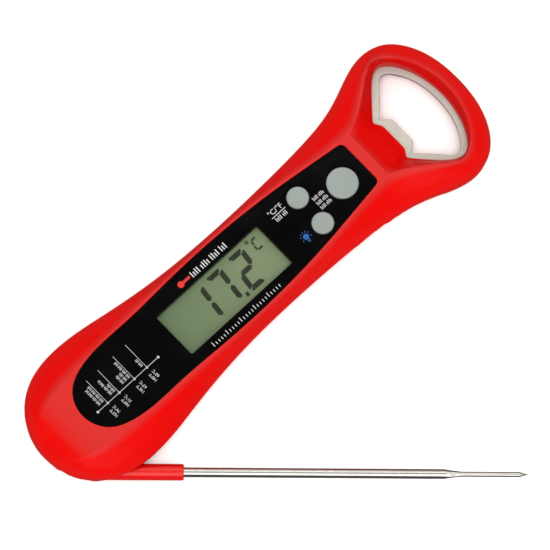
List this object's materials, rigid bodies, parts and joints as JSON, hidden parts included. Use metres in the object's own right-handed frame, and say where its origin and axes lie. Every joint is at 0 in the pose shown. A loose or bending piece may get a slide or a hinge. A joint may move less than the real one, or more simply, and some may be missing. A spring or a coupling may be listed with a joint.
{
  "type": "folding probe meat thermometer",
  "caption": "Handheld digital meat thermometer: flared plastic body with display, keys, fold-out steel probe and a built-in bottle opener at one end.",
  "frame": {"origin": "middle of the flat back face, half way along the body and on its centre line", "axes": "+X along the body from the hinge end to the opener end, +Y across it away from the probe slot, +Z out of the display"},
  "size_m": [0.1853, 0.1389, 0.019],
  "materials": {
    "shell_red": "satin moulded plastic",
    "overlay_black": "gloss printed film",
    "clear_lens": "clear",
    "lcd_glass": "grey-green liquid-crystal cell",
    "white_plastic": "moulded",
    "light_guide": "frosted",
    "led": "moulded",
    "elastomer": "matt",
    "circuit_board": "solder mask",
    "chip_black": "moulded",
    "component_mix": "ceramic",
    "reed_glass": "clear",
    "button_grey": "satin",
    "switch_black": "moulded",
    "adhesive": "tape",
    "steel_plate": "matt stainless",
    "steel_probe": "polished stainless",
    "screw_steel": "zinc plated",
    "cell_steel": "nickel plated",
    "contact_brass": "gold flashed",
    "magnet_grey": "nickel plated",
    "nylon": "natural",
    "seal_rubber": "matt",
    "wire": "insulated"
  },
  "bodies": {
    "housing": {"front_shell": "shell_red", "rear_shell": "shell_red", "front_overlay": "overlay_black", "overlay_tape": "adhesive", "display_lens": "clear_lens", "lcd_cell": "lcd_glass", "lcd_frame": "white_plastic", "light_guide": "light_guide", "backlight_leds": "led", "zebra_strip": "elastomer", "main_board": "circuit_board", "controller_chip": "chip_black", "board_parts": "component_mix", "reed_switch": "reed_glass", "switch_housings": "switch_black", "board_screws": "screw_steel", "coin_cell": "cell_steel", "negative_contact": "contact_brass", "positive_contact": "contact_brass", "back_magnets": "magnet_grey", "opener_plate": "steel_plate", "opener_screws": "screw_steel", "shell_screws": "screw_steel", "hinge_screw": "screw_steel", "hinge_pin": "contact_brass", "friction_washer": "nylon", "hub_seal_ring": "seal_rubber", "body_leads": "wire"},
    "probe": {"probe_hub": "shell_red", "hub_magnet": "magnet_grey", "probe_tube": "steel_probe", "sensor_bead": "chip_black", "sensor_leads": "wire"},
    "hold_key": {"hold_button": "button_grey", "hold_switch_stem": "nylon"},
    "unit_key": {"unit_button": "button_grey", "unit_switch_stem": "nylon"},
    "light_key": {"light_button": "button_grey", "light_switch_stem": "nylon"},
    "cell_door": {"battery_door": "shell_red", "door_o_ring": "seal_rubber"}
  },
  "joints": [
    {"name": "probe_hinge", "type": "hinge", "parent": "housing", "child": "probe", "pos_m": [-0.0813, -0.012, 0.00625], "axis": [0, 0, 1], "range_deg": [-136.2, 43.8]},
    {"name": "hold_press", "type": "slide", "parent": "housing", "child": "hold_key", "axis": [0, 0, -1], "range_m": [0, 0.0006], "stiffness_N_per_m": 800, "springref_m": -0.0015},
    {"name": "unit_press", "type": "slide", "parent": "housing", "child": "unit_key", "axis": [0, 0, -1], "range_m": [0, 0.0006], "stiffness_N_per_m": 800, "springref_m": -0.0015},
    {"name": "light_press", "type": "slide", "parent": "housing", "child": "light_key", "axis": [0, 0, -1], "range_m": [0, 0.0006], "stiffness_N_per_m": 800, "springref_m": -0.0015},
    {"name": "door_turn", "type": "hinge", "parent": "housing", "child": "cell_door", "pos_m": [-0.05, 0.004, 0.0013], "axis": [0, 0, 1], "range_deg": [-40, 0]}
  ]
}
